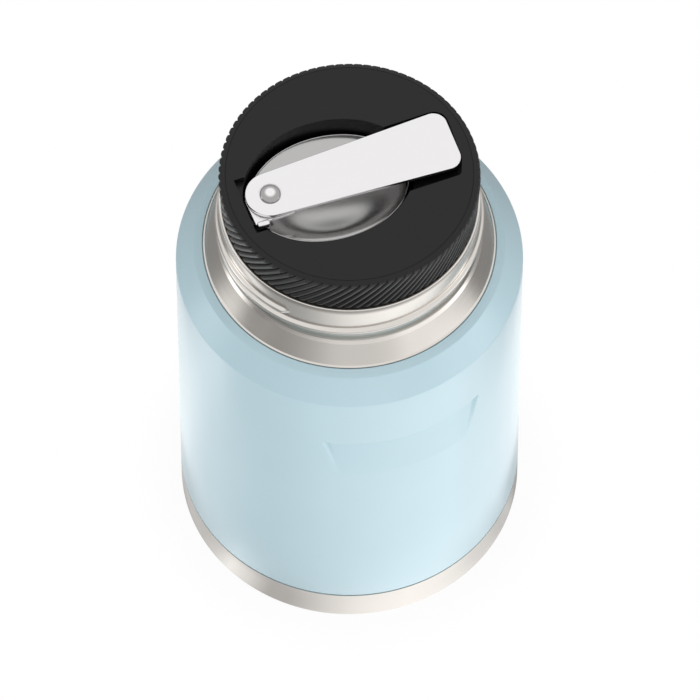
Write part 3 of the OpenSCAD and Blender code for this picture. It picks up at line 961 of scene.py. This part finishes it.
def heel_outline(grow):
    return [
        (heel_u - grow, heel_low - grow),
        (well_u, heel_low - grow),
        (well_u, heel_high + grow),
        (heel_u - grow, heel_high + grow),
    ]


def ear_outline(grow):
    return [
        (heel_u - grow, heel_low - grow),
        (ear_right + grow, heel_low - grow),
        (ear_right + grow, ear_back + grow),
        (heel_u - grow, ear_back + grow),
    ]


def slot_outline(grow):
    corner = max(grow, 0.001)
    return hull_of_circles(
        [
            (well_u, slot_front, corner),
            (slot_u - 3.7, slot_front + 1.5, 1.5 + grow),
            (slot_u - 5.3, slot_front + 6.8, 5 + grow),
            (slot_u - 4.2, slot_back - 4.4, 4.4 + grow),
            (well_u, slot_back, corner),
        ]
    )


# The plate's section, with its wall at the grip, its flange on the lip and its skirt to the plug
plate_low = 174.9
wall_inner_r = 35.46
flange_top = 165.3
skirt_r, skirt_inner_r, skirt_low = 34.9, 33, 160.9
plate_outline = [
    (0, cap_top),
    (joint_r, cap_top),
    (joint_r, cap_bottom),
    (skirt_r, cap_bottom),
    (skirt_r, skirt_low),
    (skirt_inner_r, skirt_low),
    (skirt_inner_r, flange_top),
    (wall_inner_r, flange_top),
    (wall_inner_r, plate_low),
    (0, plate_low),
]
cap_plate = turned_mesh([Vector(point) for point in plate_outline], even_angles(240))
weld(cap_plate)
# Each recess: its outline, the place along the spoon that it is drawn from, and its floor
recesses = [
    (well_outline, well_u, well_floor),
    (heel_outline, 0, heel_floor),
    (ear_outline, 0, ear_floor),
    (slot_outline, 0, slot_floor),
]
steps = []
for outline, along, floor in recesses:
    around = prism(outline(recess_wall), floor - recess_wall, wall_top)
    steps.append(("UNION", on_spoon_line(around, along)))
for outline, along, floor in recesses:
    hollow = prism(outline(0), floor, above_all)
    steps.append(("DIFFERENCE", on_spoon_line(hollow, along)))
cap_top_mesh = cut_or_join(cap_plate, steps, edge_break)
cap_face = piece("stopper_top", cap_top_mesh, black_polypropylene, sharp=20)
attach(cap_face, "stopper")
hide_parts("stopper_cap")

# ---------- Spoon bowl ----------
# The bowl is pressed from stainless steel sheet and polished, with a rounded rim. It is shallow
# and lies a little nose-down in its well.

rivet_u = -24.56
bowl_from_rivet = 18.71
bowl_a, bowl_b, hollow_depth, bowl_flare = 24.61, 18.16, 4.4, 0.9
bowl_sheet = 1.0
rim_z = 170.5
rim_round = 0.3
bowl_tilt = math.radians(2.6)


def bowl_rings(half_a, half_b, depth, flare, steps=28):
    """(half length, half width, height) of level rings of the bowl, from its bottom to its rim.
    Its slope grows from the bottom. With more flare, it falls off again towards the rim."""
    low = rim_z - rim_round - depth
    rings = []
    for k in range(steps + 1):
        out = k / steps
        rise = (out**2 / 2 - flare * out**6 / 6) / (0.5 - flare / 6)
        rings.append((half_a * out, half_b * out, low + depth * rise))
    return rings


outside = bowl_rings(bowl_a, bowl_b, hollow_depth + bowl_sheet, bowl_flare)
inside = bowl_rings(bowl_a - 2 * rim_round, bowl_b - 2 * rim_round, hollow_depth, bowl_flare)
rim = []
for k in range(1, 6):
    angle = math.pi * k / 6
    inset = rim_round * (1 - math.cos(angle))
    lift = rim_round * math.sin(angle)
    rim.append((bowl_a - inset, bowl_b - inset, rim_z - rim_round + lift))
rings = outside + rim + inside[::-1]
round_steps = 128
bowl_vertices, bowl_faces = [], []
for a, b, z in rings:
    for k in range(round_steps):
        angle = 2 * math.pi * k / round_steps
        bowl_vertices.append(
            (a * math.cos(angle) * MM, b * math.sin(angle) * MM, (z - rim_z) * MM)
        )
for i in range(len(rings) - 1):
    for k in range(round_steps):
        a, b = i * round_steps + k, i * round_steps + (k + 1) % round_steps
        bowl_faces.append((a, b, b + round_steps, a + round_steps))
bowl_mesh = bpy.data.meshes.new("bowl")
bowl_mesh.from_pydata(bowl_vertices, [], bowl_faces)
bowl_mesh.transform(
    Matrix.Translation((bowl_from_rivet * MM, 0, rim_z * MM)) @ Matrix.Rotation(bowl_tilt, 4, "Y")
)
on_spoon_line(bowl_mesh, rivet_u, spoon_shift)

# Polished 18/8 stainless: clear, soft reflections
polished_steel = steel(
    "polished_stainless_steel",
    "#bdbcbb",
    roughness=0.17,
    line_spacing=0.6,
    line_depth=0.001,
    anisotropy=0.0,
    along=spoon_turn,
    streaks=0.4,
)
bowl = piece("spoon_bowl_form", bowl_mesh, polished_steel, sharp=60)
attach(bowl, "spoon")
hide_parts("spoon_bowl")

# ---------- Spoon heel ----------
# A stainless steel strap turns up from the bowl's heel to a small flat deck, which the rivet goes
# through. The deck's front left corner is rolled down into a rounded ear.

pin_hole_r = 2.0
deck_low, deck_high = 175.1, 176.1
deck_r = 7.5
deck_corner = 3
deck_reach = 4.2
ear_half, ear_round = 1.3, (0.9, 1.15, 1.3)
ear_at = (-4.95, -7.55, deck_low)
strap_half, strap_sheet = 5.5, 1.3
strap_low, strap_high = 171.2, 175.3


def plate(outline, hole_r, low, high, edge):
    """A flat plate with rounded edges and, if hole_r isn't 0, a round hole at its origin. Its
    sizes are in millimetres."""
    curve = bpy.data.curves.new("plate", "CURVE")
    curve.dimensions, curve.fill_mode = "2D", "BOTH"
    curve.extrude, curve.offset = ((high - low) / 2 - edge) * MM, -edge * MM
    curve.bevel_depth, curve.bevel_resolution = edge * MM, 3
    loops = [outline]
    if hole_r:
        loops.append(oval(hole_r, hole_r, 48))
    for loop in loops:
        spline = curve.splines.new("POLY")
        spline.points.add(len(loop) - 1)
        for point, (x, y) in zip(spline.points, loop):
            point.co = (x * MM, y * MM, 0, 1)
        spline.use_cyclic_u = True
    work = bpy.data.objects.new("plate", curve)
    bpy.context.scene.collection.objects.link(work)
    bpy.context.view_layer.update()
    mesh = bpy.data.meshes.new_from_object(
        work.evaluated_get(bpy.context.evaluated_depsgraph_get())
    )
    bpy.data.objects.remove(work)
    mesh.transform(Matrix.Translation((0, 0, (low + high) / 2 * MM)))
    return mesh


# Satin 18/8 stainless: bright and even, with faint lines along the spoon
satin_steel = steel(
    "satin_stainless_steel",
    "#f3f1f2",
    roughness=0.27,
    line_spacing=0.2,
    line_depth=0.002,
    anisotropy=0.0,
    along=spoon_turn,
    streaks=0.15,
)

deck_outline = hull_of_circles(
    [
        (0.2 - deck_r, -deck_r, 0.001),
        (deck_reach, deck_corner - deck_r, deck_corner),
        (deck_reach, deck_r - deck_corner, deck_corner),
        (0, 0, deck_r),
    ],
    steps=20,
)
deck_mesh = plate(deck_outline, pin_hole_r, deck_low, deck_high, edge=0.2)
on_spoon_line(deck_mesh, rivet_u, spoon_shift)
deck = piece("spoon_deck", deck_mesh, satin_steel, sharp=20)
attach(deck, "spoon")
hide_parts("spoon_bowl")

# The ear: a ball stretched along the deck's edge
shape = bmesh.new()
bmesh.ops.create_uvsphere(shape, u_segments=32, v_segments=20, radius=1)
for vertex in shape.verts:
    vertex.co = (
        vertex.co.x * ear_round[0] + (ear_half if vertex.co.x >= 0 else -ear_half),
        vertex.co.y * ear_round[1],
        vertex.co.z * ear_round[2],
    )
ear_mesh = bpy.data.meshes.new("ear")
shape.to_mesh(ear_mesh)
shape.free()
ear_mesh.transform(Matrix.Translation(Vector(ear_at) * MM) @ Matrix.Scale(MM, 4))
on_spoon_line(ear_mesh, rivet_u, spoon_shift)
ear = piece("spoon_deck_ear", ear_mesh, satin_steel)
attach(ear, "spoon")

# The strap follows the bowl's rim, between two arcs of it
strap_outline = []
for inset, sign in ((0, 1), (strap_sheet, -1)):
    a, b = bowl_a - inset, bowl_b - inset
    half_angle = math.asin(strap_half / b)
    for k in range(13):
        angle = math.pi + sign * half_angle * (1 - k / 6)
        strap_outline.append((bowl_from_rivet + a * math.cos(angle), b * math.sin(angle)))
strap_mesh = plate(strap_outline, 0, strap_low, strap_high, edge=0.1)
on_spoon_line(strap_mesh, rivet_u, spoon_shift)
strap = piece("spoon_heel_strap", strap_mesh, polished_steel)
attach(strap, "spoon")

# ---------- Rivet and washer ----------
# A stainless steel rivet, with a shank and a low domed head, is set from below. It holds the
# handle on the deck so that it can turn, with a thin washer between them.

nodes["spoon_washer"].material_slots[0].material = plain_steel

head_low, head_h, head_r = 177.93, 1.1, 3.15
shank_r = 1.95
tail_low, tail_high, tail_r = 174.2, deck_low - 0.05, 2.75
dome_steps, dome_edge = 13, math.radians(84)
rivet_outline = [
    Vector(point)
    for point in [
        (0, tail_low),
        (tail_r - 0.5, tail_low),
        (tail_r, tail_high),
        (shank_r, tail_high),
        (shank_r, head_low - 0.3),
        (head_r - 0.1, head_low - 0.3),
        (head_r, head_low - 0.2),
        (head_r, head_low),
    ]
]
for k in range(dome_steps + 1):
    angle = dome_edge * (1 - k / dome_steps)
    dome_point = (head_r * math.sin(angle), head_low + head_h * math.cos(angle))
    rivet_outline.append(Vector(dome_point))
rivet_mesh = turned_mesh(rivet_outline, even_angles(64))
on_spoon_line(rivet_mesh, rivet_u, spoon_shift)

# 18/8 stainless with a painted highlight: the middle of the head is painted brightest, its edge
# painted darker
rivet_top = Matrix.Rotation(spoon_turn, 3, "Z") @ Vector((rivet_u, spoon_shift, head_low + head_h))
rivet_steel_painted_highlight, tree = new_material("stainless_steel_painted_highlight")
place = add(tree, "ShaderNodeTexCoord").outputs["Object"]
away = add(tree, "ShaderNodeVectorMath", {0: place, 1: rivet_top * MM}, operation="DISTANCE")
# Distances from the head's top over which the painted highlight gives way to painted shade
highlight_to_shade = (1.0 * MM, 2.0 * MM)
outer = blend(tree, away.outputs["Value"], *highlight_to_shade, 0, 1)
highlight_tone = add(
    tree,
    "ShaderNodeMix",
    {0: outer, 6: linear("#f4f3f3"), 7: linear("#a9a8a7")},
    data_type="RGBA",
)
rivet_metal = add(
    tree,
    "ShaderNodeBsdfPrincipled",
    {"Base Color": highlight_tone.outputs[2], "Metallic": 1.0, "Roughness": 0.16},
)
add(tree, "ShaderNodeOutputMaterial", {"Surface": rivet_metal.outputs[0]})
rivet = piece("spoon_rivet_form", rivet_mesh, rivet_steel_painted_highlight)
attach(rivet, "spoon")
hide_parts("spoon_rivet")

# ---------- Handle ----------
# The handle is a flat strap of stainless steel, blanked, edge-rounded and satin-brushed along its
# length. It swings out round the rivet once the spoon is lifted from the stopper.

handle_length, handle_half, handle_corner = 57.62, 10.0, 4.2
handle_pivot_r = 7.4
handle_low, handle_high = 176.5, 177.9
handle_turn = math.radians(-0.7)
counterbore_r, counterbore_floor = 3.5, 177.6
handle_outline = hull_of_circles(
    [
        (0, 0, handle_pivot_r),
        (handle_length - handle_corner, -handle_half + handle_corner, handle_corner),
        (handle_length - handle_corner, handle_half - handle_corner, handle_corner),
    ]
)
handle_mesh = plate(handle_outline, pin_hole_r, handle_low, handle_high, edge=0.22)
weld(handle_mesh)
counterbore = prism(oval(counterbore_r, counterbore_r, 64), counterbore_floor, above_all)
handle_mesh = cut_or_join(handle_mesh, [("DIFFERENCE", counterbore)], bevel=0)
handle_mesh.transform(Matrix.Rotation(handle_turn, 4, "Z"))
on_spoon_line(handle_mesh, rivet_u, spoon_shift)
handle = piece("spoon_handle_form", handle_mesh, satin_steel, sharp=20)
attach(handle, "handle")
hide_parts("spoon_handle")

# ---------- Last update ----
# The view layer is brought up to date.

bpy.context.view_layer.update()
